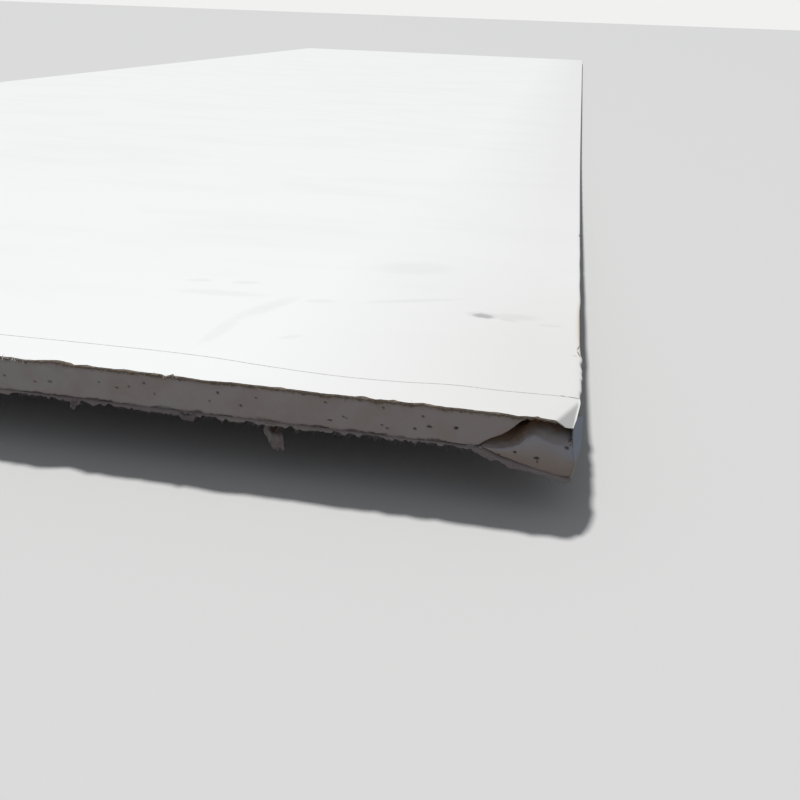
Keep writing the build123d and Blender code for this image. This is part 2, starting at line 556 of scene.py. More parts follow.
FACE_MARKS = (
    # The grey smudge with its rubbed tail
    Mark(-51.6, 130.0, 7.4, 5.6, -11, 0.35, "#C4C2C4"), Mark(-50.8, 128.8, 5.4, 3.6, -11, 0.7, "#A5A3A5"),
    Mark(-35.2, 132.0, 13, 5.5, 8, 0.22, "#C4C2C2"), Mark(-36.5, 124.8, 5.0, 2.2, -13, 0.2, "#C4C2C2"),
    Mark(-15.5, 122.6, 5.5, 2.2, 7, 0.17, "#C4C2C0"),
    # Faint grey and bluish streaks over the face
    Mark(-218, 146.4, 7.6, 3.2, 20, 0.16, "#C9C6C0"), Mark(-191, 150.5, 7.0, 4.2, 15, 0.17, "#C9C6C0"),
    Mark(-196, 125.2, 24, 5.4, 7, 0.14, "#C9C6C0"), Mark(-170.7, 64.7, 23, 4.0, 89, 0.12, "#C9C6C0"),
    Mark(-162.7, 106.8, 25, 5.5, 70, 0.15, "#C9C6C0"), Mark(-139.7, 127.5, 7.6, 3.2, 19, 0.15, "#C9C6C0"),
    Mark(-91.6, 145, 26, 3.4, 26, 0.16, "#C6C7CA"), Mark(-135.9, 63.8, 6.2, 2.4, 41, 0.16, "#C9C6C0"),
    Mark(-103.7, 219, 25, 16, 20, 0.12, "#C6C7CA"),
    # The paper is cracked at the right end of the score line
    Mark(-2.6, 25.7, 2.5, 0.35, -3, 0.9, "#77706B"), Mark(-7.6, 26.0, 1.0, 0.35, 0, 0.8, "#857F79"),
    # The right arris is worn to a cream ply, with a brown crack
    Mark(-0.9, 130, 1.7, 46, 0, 0.75, "#E6DECF"), Mark(-1.3, 91, 0.3, 3.6, -8, 0.9, "#857463"),
    Mark(-1.2, 82, 0.3, 4.6, 9, 0.9, "#857463"), Mark(-2.7, 78.5, 1.3, 0.4, -22, 0.7, "#A8967F"),
)


@dataclass(frozen=True)
class WhiteFacePaper:
    """Smooth white face paper, calendered on the board line: matt, even and faintly mottled."""

    white: str = "#F5F5F3"
    streak: str = "#EEEEEC"
    dull: str = "#E3E1DE"
    pencil: str = "#A19E9A"
    # Painted bluish shade for the hanging edge strip
    painted_sky_shade: str = "#A9B2C2"
    # Painted warmer shade for the lower part of the hanging edge strip
    painted_warm_shade: str = "#ADA39D"
    fibre_mm: float = 1.1
    streak_mm: float = 60.0
    # Where the face grows dull: across it, and along it from the near end, in metres
    dull_across: tuple[float, float] = (0.46, 0.585)
    dull_along: tuple[float, float] = (-1.80, -1.55)
    line_mm: float = 0.45
    # The score line's curve is drawn in shares of this distance back
    score_span: float = 50.0
    # Places of the score line: distance from the right edge, and distance back
    score: tuple[tuple[float, float], ...] = (
        (-281, 25.7), (-260, 25.9), (-209, 27.0), (-165, 26.5), (-130, 22.6), (-101, 20.5),
        (-78, 21.4), (-49, 24.9), (-36, 24.4), (-8, 25.4), (0, 25.4),
    )

    def build(self) -> bpy.types.Material:
        """Makes the white paper with its score line and marks.

        Returns:
            The material. It reads two vertex values of painted shade, for the hanging edge strip.
        """
        material, tree, place = start_finish("calendered_white_face_paper")
        # Fibres are 0.03 mm wide, and are drawn coarser so that they show
        fibre = speckle(tree, place, self.fibre_mm)
        drawn = add(tree, "ShaderNodeVectorMath", {0: place, 1: (0.3, 1.0, 1.0)}, operation="MULTIPLY")
        streaks = speckle(tree, drawn.outputs[0], self.streak_mm, 4.0)
        shade = mix(tree, remap(tree, streaks, 0.45, 0.75, 0.0, 0.55), self.white, self.streak)
        apart = add(tree, "ShaderNodeSeparateXYZ", {"Vector": place})
        right = remap(tree, apart.outputs["X"], *self.dull_across, 0.0, 0.85)
        near = remap(tree, apart.outputs["Y"], *self.dull_along, 1.0, 0.55, "SMOOTHSTEP")
        shade = mix(tree, sum_up(tree, "MULTIPLY", right, near), shade, self.dull)
        shade = self.add_score_line(tree, apart, shade, fibre)
        rag = speckle(tree, place, 4.0)
        for mark in FACE_MARKS:
            shade = self.add_mark(tree, place, rag, shade, mark)
        # Painted shade on the hanging edge strip: bluish grey, and warmer low down
        for name, over in (("painted_sky_shade", self.painted_sky_shade), ("painted_warm_shade", self.painted_warm_shade)):
            shade = tint(tree, shade, name, over)
        end_finish(tree, shade, fibre, depth=0.03, rough=0.62, shine=0.35)
        return material

    def add_score_line(
        self, tree: Tree, apart: bpy.types.Node, shade: Output, fibre: Output
    ) -> Output:
        """Draws the faint score line that crosses the face behind the near end.

        Args:
            tree: The material's nodes.
            apart: The separated object coordinates.
            shade: The colour so far.
            fibre: Noise that breaks the line up.

        Returns:
            The colour with the line.
        """
        reach, span = -self.score[0][0], self.score_span
        right, front = SHEET.width / 2, -SHEET.length / 2
        along = remap(tree, apart.outputs["X"], (right - reach) * MM, right * MM)
        path = add(tree, "ShaderNodeFloatCurve", {"Value": along})
        curve = path.mapping.curves[0]
        curve.points[0].location = (0, self.score[0][1] / span)
        curve.points[-1].location = (1, self.score[-1][1] / span)
        for across, back in self.score[1:-1]:
            curve.points.new(1 + across / reach, back / span)
        path.mapping.update()
        back = remap(tree, apart.outputs["Y"], front * MM, (front + span) * MM)
        off = sum_up(tree, "SUBTRACT", back, path.outputs[0])
        gap = sum_up(tree, "ABSOLUTE", off, 0.0)
        # The scored line is 0.2 mm wide, and is drawn a little wider so that it shows
        half = self.line_mm / 2 / span
        line = remap(tree, gap, half, 2 * half, 1.0, 0.0)
        broken = remap(tree, fibre, 0.3, 0.6, 0.45, 0.9)
        return mix(tree, sum_up(tree, "MULTIPLY", line, broken), shade, self.pencil)

    def add_mark(
        self, tree: Tree, place: Output, rag: Output, shade: Output, mark: Mark
    ) -> Output:
        """Adds one mark with a ragged outline.

        Args:
            tree: The material's nodes.
            place: Object coordinates.
            rag: Noise for the outline.
            shade: The colour so far.
            mark: The mark.

        Returns:
            The colour with the mark.
        """
        middle = ((SHEET.width / 2 + mark.x) * MM, (mark.s - SHEET.length / 2) * MM, 0.0)
        centred = add(
            tree, "ShaderNodeMapping",
            {
                "Vector": place, "Location": middle, "Rotation": (0.0, 0.0, math.radians(mark.turn)),
                "Scale": (mark.across * MM, mark.along * MM, 1.0),
            },
            vector_type="TEXTURE",
        ).outputs[0]
        flat = add(tree, "ShaderNodeVectorMath", {0: centred, 1: (1.0, 1.0, 0.0)}, operation="MULTIPLY")
        far = add(tree, "ShaderNodeVectorMath", {0: flat.outputs[0]}, operation="LENGTH")
        ragged = sum_up(tree, "ADD", far.outputs["Value"], rag)
        part = remap(tree, ragged, 1.0, 1.9, mark.strength, 0.0, "SMOOTHSTEP")
        return mix(tree, part, shade, mark.shade)


@dataclass(frozen=True)
class KraftPly:
    """Brown recycled kraft, the inner plies of the face paper where they tear and fray."""

    brown: str = "#7D6F62"
    pale: str = "#9C8E80"
    # Painted bluish shade on the rim of the hanging edge strip
    painted_sky_shade: str = "#5C5E68"
    fleck_mm: float = 1.6

    def build(self) -> bpy.types.Material:
        """Makes the brown ply.

        Returns:
            The material. It reads a vertex value of painted shade, for the rim of the hanging edge strip.
        """
        material, tree, place = start_finish("torn_kraft_ply")
        fleck = speckle(tree, place, self.fleck_mm, 4.0, 0.7)
        shade = mix(tree, remap(tree, fleck, 0.42, 0.68), self.brown, self.pale)
        # Painted shade on the rim of the hanging edge strip
        shade = tint(tree, shade, "painted_sky_shade", self.painted_sky_shade)
        end_finish(tree, shade, fleck, depth=0.2, rough=0.9)
        return material


@dataclass(frozen=True)
class SetGypsum:
    """Foamed gypsum, cast and then broken: chalky, matt and pale grey. Its air holes and hollows are
    painted dark as shade, and a blue skylight is painted on where a piece asks for it.
    """

    grey: str = "#C0B9B8"
    warm: str = "#B9AEAA"
    # Painted shade: in the air holes and hollows, under the paper's edge, at the crumbled feet and under
    # the bent corner
    hole: str = "#4F4946"
    # A brown tint: real stains and bonded ply on the near end, and painted shade in the crack and low on
    # the broken corner
    brown_tint: str = "#C4A07C"
    # Painted blue skylight, for the broken corner's front
    painted_sky_tint: str = "#B4BBCB"
    grain_mm: float = 0.7
    cloud_mm: float = 14.0

    def build(self) -> bpy.types.Material:
        """Makes the gypsum.

        Returns:
            The material. It reads vertex values for a painted blue skylight, a brown tint that is partly
            painted shade, and painted shade.
        """
        material, tree, place = start_finish("foamed_set_gypsum")
        cloud = speckle(tree, place, self.cloud_mm, 4.0)
        grain = speckle(tree, place, self.grain_mm, 3.0, 0.7)
        shade = mix(tree, remap(tree, cloud, 0.42, 0.66), self.grey, self.warm)
        # A painted blue skylight, a brown tint that is partly painted shade, and painted shade
        for name, over in (("painted_sky_tint", self.painted_sky_tint), ("brown_tint", self.brown_tint), ("pit", self.hole)):
            shade = tint(tree, shade, name, over)
        end_finish(tree, shade, grain, depth=0.15, rough=0.95, shine=0.2)
        return material


@dataclass(frozen=True)
class GreyBackPaper:
    """Unbleached grey-brown back paper, made from newsprint: soft, matt and flecked."""

    grey: str = "#948A8B"
    pale: str = "#A79D9A"
    fleck: str = "#6E6464"
    # Painted shade for the hanging strips, darkest in their hollows
    painted_warm_shade: str = "#41372F"
    fleck_mm: float = 1.8

    def build(self) -> bpy.types.Material:
        """Makes the back paper.

        Returns:
            The material. It reads a vertex value of painted shade, for the hanging strips.
        """
        material, tree, place = start_finish("newsprint_back_paper")
        fine = speckle(tree, place, self.fleck_mm, 5.0, 0.7)
        wide = speckle(tree, place, 40.0)
        shade = mix(tree, remap(tree, wide, 0.4, 0.65), self.grey, self.pale)
        shade = mix(tree, remap(tree, fine, 0.58, 0.72, 0.0, 0.7), shade, self.fleck)
        # Painted shade on the hanging strips
        shade = tint(tree, shade, "painted_warm_shade", self.painted_warm_shade)
        end_finish(tree, shade, fine, depth=0.2, rough=0.9)
        return material


@dataclass(frozen=True)
class Finishes:
    """The materials, made once."""

    white: bpy.types.Material
    kraft: bpy.types.Material
    gypsum: bpy.types.Material
    back: bpy.types.Material


# Pieces


@dataclass(frozen=True)
class Pit:
    """An air hole in the broken gypsum: its middle, its size and its depth."""

    x: float
    h: float
    wide: float
    tall: float
    deep: float


END_PITS = (
    Pit(-60.9, 10.5, 0.9, 0.7, 0.6), Pit(-63.9, 4.8, 1.1, 0.9, 0.7), Pit(-58.1, 6.5, 2.2, 0.7, 0.6),
    Pit(-47.5, 7.2, 1.6, 1.0, 0.9), Pit(-77.0, 12.2, 0.8, 0.6, 0.5), Pit(-75.1, 3.6, 0.8, 0.7, 0.5),
    Pit(-77.2, 4.6, 0.8, 0.5, 0.5), Pit(-98.7, 4.1, 1.8, 0.6, 0.5), Pit(-93.1, 6.4, 0.8, 0.6, 0.5),
    Pit(-91.7, 6.0, 0.6, 0.5, 0.4), Pit(-100.7, 11.8, 0.8, 0.6, 0.5), Pit(-146.5, 10.4, 0.9, 0.8, 0.6),
    Pit(-136.6, 5.9, 1.0, 0.8, 0.6), Pit(-150.1, 6.2, 0.7, 0.6, 0.5), Pit(-129.9, 10.2, 0.7, 0.5, 0.4),
    Pit(-174.4, 6.6, 0.7, 0.5, 0.4), Pit(-179.0, 10.9, 0.8, 0.7, 0.5), Pit(-222.4, 6.6, 2.4, 0.5, 0.4),
    Pit(-191.5, 7.3, 0.9, 0.6, 0.5), Pit(-185.9, 8.5, 0.8, 0.6, 0.5), Pit(-199.4, 8.9, 0.6, 0.5, 0.4),
    Pit(-243.8, 7.0, 0.8, 0.6, 0.4), Pit(-229.5, 5.8, 0.7, 0.5, 0.4),
)
WEDGE_PITS = (
    Pit(-23.9, 0.1, 1.1, 0.8, 0.6), Pit(-15.3, -1.4, 2.1, 0.8, 0.8), Pit(-14.8, -2.9, 0.5, 0.3, 0.4),
    Pit(-29.9, -1.9, 0.6, 0.5, 0.4), Pit(-4.3, 4.6, 1.9, 0.8, 0.3),
)
# Brown stains low on the near end: place, height, half width
STAINS = ((-224.0, 1.6, 2.2), (-161.0, 1.8, 1.6), (-126.0, 1.6, 2.4), (-97.0, 1.4, 1.4))


def sink_pits(x: Array, h: Array, pits: Sequence[Pit]) -> tuple[Array, Array]:
    """Finds how deep each point lies in a pit.

    Args:
        x: Distances from the right edge.
        h: Heights.
        pits: The pits.

    Returns:
        Depths in millimetres, and how dark each point is painted as shade in the holes, from 0 to 1.
    """
    deep = np.zeros_like(x)
    dark = np.zeros_like(x)
    for pit in pits:
        # A rim a little wider than the hole, so that small holes reach a vertex too
        far = np.hypot((x - pit.x) / (0.5 * pit.wide + 0.15), (h - pit.h) / (0.5 * pit.tall + 0.1))
        inside = np.clip(1.25 - far, 0, 1)
        deep = np.maximum(deep, pit.deep * inside)
        dark = np.maximum(dark, np.clip(1.45 * inside, 0, 1))
    return deep, dark


def scattered_pits(low: float, high: float, count: int, seed: int) -> list[Pit]:
    """Draws random pits for the part of the near end that is finished plainly.

    Args:
        low: The place where they start.
        high: The place where they end.
        count: How many there are.
        seed: Picks them.

    Returns:
        The pits.
    """
    draw = np.random.default_rng(seed)
    # In the order of a pit's fields
    ranges = ((low, high), (3.5, 13), (0.6, 1.8), (0.5, 0.9), (0.4, 0.8))
    return [Pit(*(draw.uniform(*ends) for ends in ranges)) for _ in range(count)]


@dataclass(frozen=True)
class TornEdge:
    """The torn outline of the face paper at the near end."""

    # Right of this place the core under it is gone
    core_end: float = -9.0
    # How far the torn line stands out, and its waves
    stands_out: float = 0.1
    depth: float = 0.45
    waves: Waves = ((0.34, 13.0, 3), (0.36, 4.1, 4), (0.34, 1.4, 5))
    # The gypsum under a bite has broken away at this slope
    break_slope: float = 0.42
    # Places where the tear bites back (positive) or is pushed out: place, half width, how far
    bites: tuple[tuple[float, float, float], ...] = (
        (-218.5, 9.0, 2.4), (-204.5, 3.2, 1.2), (-209.5, 2.0, -0.5), (-232.5, 6.0, -0.7),
        (-186.0, 5.0, 0.8), (-168.2, 2.0, -1.1), (-166.3, 1.3, 1.9), (-151.0, 10.0, -1.1),
        (-119.5, 2.5, 0.9), (-102.0, 6.0, -0.5), (-85.3, 3.0, 1.3), (-80.0, 1.8, -0.7),
        (-72.8, 1.6, 1.0), (-61.0, 4.6, 1.3), (-52.0, 1.6, -0.6), (-24.0, 3.5, -0.9), (-16.6, 1.2, 1.2),
    )
    # The bent corner has lost its tip
    tip_places: tuple[float, ...] = (-9.6, -7.4, -4.2, -1.0)
    tip_back: tuple[float, ...] = (0.0, 0.6, 1.2, 4.2)

    def back(self, x: Array) -> Array:
        """How far back from the near end the paper ends.

        Args:
            x: Places across it.

        Returns:
            Distances back, negative where the paper sticks out.
        """
        line = self.depth * torn(x, self.waves) - self.stands_out
        for place, half, far in self.bites:
            line = line + far * peak(x, place, half) ** 0.7
        return line + np.interp(x, self.tip_places, self.tip_back)

    def recess(self, x: Array, h: Array) -> Array:
        """How far back the gypsum has broken away under a bite, at each height."""
        under = SHEET.thickness - h
        return np.maximum(self.back(x) - 0.1 - self.break_slope * under, 0.0)


@dataclass(frozen=True)
class DogEar:
    """The corner of the face paper, bent down along a crease where the core is gone."""

    # The two ends of the crease
    near: tuple[float, float] = (-9.2, 0.6)
    far: tuple[float, float] = (-0.8, 22.1)
    angle: float = 48.0
    # The crease is this soft, and the paper sags a little from this far before it
    soft: float = 0.7
    sag: float = 0.35
    sag_from: float = 9.0

    def bend(self, x: Array, s: Array, h: Array) -> Places:
        """Moves points of the flat paper to where the bent corner puts them.

        Args:
            x: Distances from the right edge.
            s: Distances back.
            h: Heights.

        Returns:
            The same three for the bent paper.
        """
        along = np.subtract(self.far, self.near)
        along = along / np.linalg.norm(along)
        past = (x - self.near[0]) * along[1] - (s - self.near[1]) * along[0]
        full = math.radians(self.angle)
        turn = full * ramp(past, -self.soft, self.soft)
        radius = 2 * self.soft / full
        straight = np.maximum(past - self.soft, 0)
        across = np.where(turn > 0, radius * np.sin(turn) - self.soft, past) + straight * math.cos(full)
        drop = radius * (1 - np.cos(turn)) + straight * math.sin(full)
        drop = drop + self.sag * ramp(past, -self.sag_from, 0) ** 2
        under = SHEET.thickness - h
        shift = across - past - under * np.sin(turn)
        return (
            x + along[1] * shift,
            s - along[0] * shift,
            SHEET.thickness - drop - under * np.cos(turn),
        )


TEAR = TornEdge()
EAR = DogEar()


@dataclass(frozen=True)
class GypsumCore:
    """The core: a long casting whose near end is cut rough and whose right corner is gone."""

    coarse_columns: int = 120
    fine_columns: int = 440
    rows: int = 28
    arris_round: float = 0.3
    # From here to the right, its columns close up against the crack
    crack_from: float = -60.0
    # The crack's section: heights, and how far past the hinge the core still reaches
    crack_heights: tuple[float, ...] = (0.4, 2.5, 4.5, 6.4, 8.4, 11.0, 13.1, 14.4, 15.1, 15.5)
    crack_reach: tuple[float, ...] = (-0.8, 0.6, 3.2, 6.3, 8.8, 11.0, 12.6, 14.2, 15.8, 17.5)
    # The near end: how far back it is cut, and how far its waves and its fine grain go in and out
    cut_back: float = 0.22
    cut_wave: float = 0.16
    cut_rub: float = 0.07
    # Its crumbled foot: the height, the depth, how open it is, and the torn lines of these
    foot_height: float = 1.25
    foot_depth: float = 0.9
    foot_open: float = 0.6
    foot_waves: Waves = ((0.4, 9, 11), (0.35, 2.4, 12), (0.3, 0.8, 13))
    open_waves: Waves = ((0.7, 6, 14), (0.4, 1.7, 15))
    # It has crumbled at the crack too: how deep, and how far from the crack
    crumbled: float = 0.5
    crumbled_over: float = 0.7
    # Brown ply is still bonded to the top of the near end, down to a ragged line
    ply_below: float = 0.6
    ply_fade: float = 1.6
    ply_waves: Waves = ((0.5, 1.9, 16), (0.5, 0.8, 17))
    # Small pits in the part that is finished plainly: the left end of it, their number and seed
    plain_from: float = -1215.0
    plain_pits: int = 95
    plain_seed: int = 8
    # The far end is cut this far back, and is this rough
    far_cut: float = 0.1
    # The near end grows duller between these places, towards the corner
    dull_across: tuple[float, float] = (-260.0, -40.0)

    def stations(self) -> Array:
        """Distances back along the sheet at which the core has a row of vertices."""
        return spaced((0, 60, 24), (60, 100, 2), (100, 1100, 10), (1100, SHEET.run, 4))

    def crack_edge(self, s: Array, h: Array) -> Array:
        """Finds where the core ends at the crack.

        Args:
            s: Distances back.
            h: Heights.

        Returns:
            Distances from the right edge, which lie outside the sheet where there is no crack.
        """
        reach = np.interp(h, self.crack_heights, self.crack_reach) * SHEET.hinge_length
        run = SHEET.along_hinge(s) * SHEET.hinge_across
        return (reach + run) / SHEET.hinge_back - SHEET.hinge_across

    def lay_out(self, number: Array) -> tuple[Array, Array, Array, Array]:
        """Lays out the block, with its right columns closed up against the crack.

        Args:
            number: Each vertex's numbers across, back and up.

        Returns:
            x, s and h, and how far each vertex is from the crack, endless where there is none.
        """
        inside = SHEET.face_paper
        columns = end_columns(inside - SHEET.width, -inside, self.coarse_columns, self.fine_columns)
        x = columns[number[:, 0]]
        s = self.stations()[number[:, 1]]
        edge = np.minimum(-x, SHEET.width + x)
        floor = SHEET.back_paper + np.where(edge < SHEET.edge_return, SHEET.face_paper, 0.0)
        h = floor + number[:, 2] / self.rows * (SHEET.thickness - SHEET.face_paper - floor)
        arris = np.isin(number[:, 2], (0, self.rows)) & (edge < inside + 0.01)
        softened = inside + self.arris_round
        x = np.where(arris, np.clip(x, softened - SHEET.width, -softened), x)
        limit = np.minimum(self.crack_edge(s, h), -inside)
        at_crack = limit < -inside
        grain = 0.45 * roughness(x, s, h, 3.0) + 0.2 * roughness(x + 40, s, h, 1.1)
        limit = limit + np.where(at_crack, grain, 0)
        closed = self.crack_from + ramp(x, self.crack_from, -inside) * (limit - self.crack_from)
        x = np.minimum(np.where(x > self.crack_from, closed, x), -inside)
        return x, s, h, np.where(at_crack, limit - x, np.inf)

    def crumble(self, x: Array, h: Array) -> Array:
        """How much the foot of the near end has crumbled, from 0 to 1."""
        part = np.clip(self.foot_open + torn(x, self.open_waves), 0.1, 1)
        return part * ramp(self.foot_height + torn(x, self.foot_waves) - h, 0, 0.5)

    def brown_tint(self, x: Array, h: Array, ply: Array, rub: Array) -> Array:
        """How brown the near end is.

        Args:
            x: Distances from the right edge.
            h: Heights.
            ply: How much ply is left at each point, from 0 to 1.
            rub: Noise that makes the stains ragged.

        Returns:
            Values from 0 to 0.22.
        """
        brown = 0.35 * ply
        for place, height, half in STAINS:
            away = np.hypot((x - place) / half, (h - height) / 1.2)
            brown = np.maximum(brown, 1.2 - away + 0.4 * rub)
        return np.clip(brown, 0, 0.22)

    def make(self, finishes: Finishes) -> Piece:
        """Builds the core.

        Args:
            finishes: The materials.

        Returns:
            The finished piece.
        """
        columns = self.coarse_columns + self.fine_columns
        back_rows = len(self.stations()) - 1
        piece = block("core_cast", (columns // 10, 10), (back_rows,), (self.rows,))
        number = read_points(piece).astype(int)
        near, far, top = number[:, 1] == 0, number[:, 1] == back_rows, number[:, 2] == self.rows
        x, s, h, gap = self.lay_out(number)
        plain = scattered_pits(self.plain_from, DETAIL_FROM, self.plain_pits, self.plain_seed)
        deep, dark = sink_pits(x, h, [*END_PITS, *plain])
        wave = roughness(x, 0, h, 7.0)
        rub = roughness(x + 90, 0, h, 1.3)
        crumbs = self.crumble(x, h)
        front = self.cut_back + self.cut_wave * wave + self.cut_rub * rub + deep
        front = front + self.foot_depth * crumbs
        front = front + self.crumbled * np.exp(-np.abs(gap) / self.crumbled_over)
        front = front + TEAR.recess(x, h) * (x < TEAR.core_end)
        s = s + np.where(near, front, 0) - np.where(far, self.far_cut * (1 + wave), 0)
        write_points(piece, SHEET.place(x, s, h))
        below = SHEET.thickness - self.ply_below - h + torn(x, self.ply_waves)
        ply = ramp(below, self.ply_fade, 0)
        dull = ramp(x, *self.dull_across)
        # Painted shade: the air holes, the crumbled foot and the band under the paper's edge are
        # darkened, and the end grows darker towards the corner
        pit = np.maximum(dark, 0.35 * crumbs) + 0.3 * ply + 0.07 * dull
        # The crack is painted brown and dark as shade, less where it is open to the light, and so is the
        # top under the torn paper near the front
        behind = np.interp(x, (-17, -10), (0.85, 0.15)) * (gap < 0.1) + top * (s < 6)
        keep_values(piece, "pit", np.where(near, pit, 0))
        keep_values(piece, "brown_tint", np.where(near, self.brown_tint(x, h, ply, rub) + 0.1 * dull, behind))
        piece.data.materials.append(finishes.gypsum)
        smooth(piece, 60)
        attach(piece, "root")
        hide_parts("gypsum_core")
        return piece


@dataclass(frozen=True)
class BrokenCorner:
    """The snapped corner of the core, worn along its break and chipped at its front."""

    columns: tuple[int, int] = (10, 9)
    back_rows: int = 44
    rows: int = 24
    # Powers that crowd its vertices together towards its right side and its front
    crowding: tuple[float, float, float] = (0.85, 1.35, 1.0)
    back_end: float = 59.0
    # Its gap from the core at the hinge and from the face paper above, and its least height
    apart: float = 0.4
    clear: float = 1.2
    least: float = 0.3
    # Its front: how far back it is cut, how far it goes in and out, and how far its top is worn
    cut_back: float = 0.15
    cut_wave: float = 0.1
    cut_rub: float = 0.08
    top_worn: float = 0.8
    # The front's crumbled foot, and how much further out the front is for each height
    foot_height: float = 0.7
    foot_depth: float = 0.6
    front_lean: float = 0.05
    # Its height over its own underside, by distance past the hinge
    reach: tuple[float, ...] = (0.0, 3.7, 7.5, 9.9, 12.7, 15.4, 18.5, 21.0)
    height: tuple[float, ...] = (0.3, 1.4, 3.0, 4.6, 7.3, 11.2, 14.0, 15.0)
    # The chip along the top of its front: places, how deep it goes, and how far back it reaches
    # on the left and on the right
    chip_places: tuple[float, ...] = (-17.0, -15.5, -12.6, -9.4, -5.9, -1.0)
    chip_depths: tuple[float, ...] = (0.0, 0.5, 1.9, 2.1, 1.5, 0.6)
    chip_lengths: tuple[float, float] = (5.0, 14.0)
    # Its right side bulges out: heights, how far out, and how far back the bulge stands. It is
    # drawn at one height first, and leans out from there
    drawn_at: float = 2.0
    bulge_heights: tuple[float, ...] = (-9.0, -7.0, -3.3, -0.4, 4.0, 5.8, 8.8, 12.0, 15.0)
    bulge_out: tuple[float, ...] = (-1.5, -1.25, 0.45, 1.3, 1.5, 1.6, 1.65, 1.4, 1.3)
    bulge_back: tuple[float, ...] = (0.5, 0.5, 5.0, 9.0, 13.0, 16.0, 20.5, 20.5, 20.5)
    bulge_slope: float = 0.25
    bulge_end: float = 3.0

    def side(self, s: Array, h: Array | float) -> Array:
        """Finds its right side, outside the edge paper, with the corner worn off in front.

        Args:
            s: Distances back.
            h: Heights.

        Returns:
            Distances from the right edge.
        """
        out = np.interp(h, self.bulge_heights, self.bulge_out)
        middle = np.interp(h, self.bulge_heights, self.bulge_back)
        behind = ramp(s - middle, 0, self.bulge_end)
        flush = 0.3 * ramp(s, 40, 20)
        return np.where(s < middle, out - self.bulge_slope * (middle - s), out - (out + flush) * behind)

    def tall(self, x: Array, s: Array, grain: Array) -> Array:
        """Finds how tall it stands over its underside.

        Args:
            x: Distances from the right edge.
            s: Distances back.
            grain: Noise of its worn break.

        Returns:
            Heights above the underside.
        """
        height = np.interp(SHEET.past_hinge(x, SHEET.along_hinge(s)), self.reach, self.height)
        short, long = self.chip_lengths
        chipped = ramp(s, short + (long - short) * ramp(x, -14, 0), 0) ** 2.2
        height = height - np.interp(x, self.chip_places, self.chip_depths) * chipped
        worn = 0.3 * grain + 0.18 * roughness(x, s, 9, 1.2)
        return np.maximum(height + ramp(height, 0, 3) * worn, self.least) + SHEET.sag(x, s)

    def make(self, finishes: Finishes) -> Piece:
        """Builds the corner.

        Args:
            finishes: The materials.

        Returns:
            The finished piece.
        """
        counts = (math.prod(self.columns), self.back_rows, self.rows)
        piece = block("corner_chunk", self.columns, (self.back_rows,), (self.rows,))
        number = read_points(piece)
        near, top = number[:, 1] == 0, number[:, 2] == self.rows
        across, back, up = ((number / counts) ** self.crowding).T
        s = back * self.back_end
        left = (SHEET.along_hinge(s) / SHEET.hinge_back - 1) * SHEET.hinge_across + self.apart
        right = self.side(s, self.drawn_at) - SHEET.face_paper
        x = left + across * (right - left)
        grain = roughness(x, s, 0, 3.2)
        low = SHEET.hung(x, s) + SHEET.back_paper
        h = low + up * np.minimum(self.tall(x, s, grain), SHEET.thickness - self.clear - low)
        x = x + (self.side(s, h) - self.side(s, self.drawn_at)) * across**2
        # The front is worn round at the top, and crumbled at the foot
        deep, dark = sink_pits(x, h, WEDGE_PITS)
        foot = ramp(low + self.foot_height + 0.35 * wander(x, 5, 21) - h, 0, 0.5)
        rub = roughness(x, 0, h, 1.6)
        front = self.cut_back + self.cut_wave * grain + self.cut_rub * rub + deep
        front = front + self.foot_depth * foot + self.top_worn * ramp(up, 0.84, 1) ** 2
        s = s + np.where(near, front, 0) - self.front_lean * (h - low) * (1 - back)
        write_points(piece, SHEET.place(x, s, h))
        # Painted shade: the air holes and the crumbled foot are dark, the front is darker and warmer low
        # down, and the top under the bent paper is painted dark as shadow
        lower = ramp(up, 0.715, 0.165)
        hooded = top * ramp(x, -4.4, -3.4) * np.interp(s, (2.6, 3.4, 5, 7), (0.97, 0.4, 0.35, 0))
        pit = np.maximum(dark, 0.35 * foot) + 0.03 + 0.19 * lower
        # A painted blue skylight on the upper front and on its right
        painted_sky_tint = 0.45 * ramp(up, 0.5, 0.9) + 0.6 * ramp(x, -6.5, -2.5) * ramp(up, 0.35, 0.65)
        # The top behind the chip is tinted brown
        brown_top = 0.85 * ramp(s - 1.6 * wander(x, 3, 23), 3.5, 7.5) * top
        brown_top = brown_top * np.interp(x, (-20, -14, -8, -3), (0.5, 1, 0.5, 0))
        keep_values(piece, "pit", np.where(near, np.maximum(pit, hooded), hooded))
        keep_values(piece, "painted_sky_tint", np.where(near, np.clip(painted_sky_tint, 0, 0.85), 0))
        keep_values(piece, "brown_tint", np.where(near, 0.06 + 0.24 * lower, brown_top))
        piece.data.materials.append(finishes.gypsum)
        smooth(piece, 60)
        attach(piece, "root")
        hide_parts("broken_corner")
        return piece


CORNER = BrokenCorner()


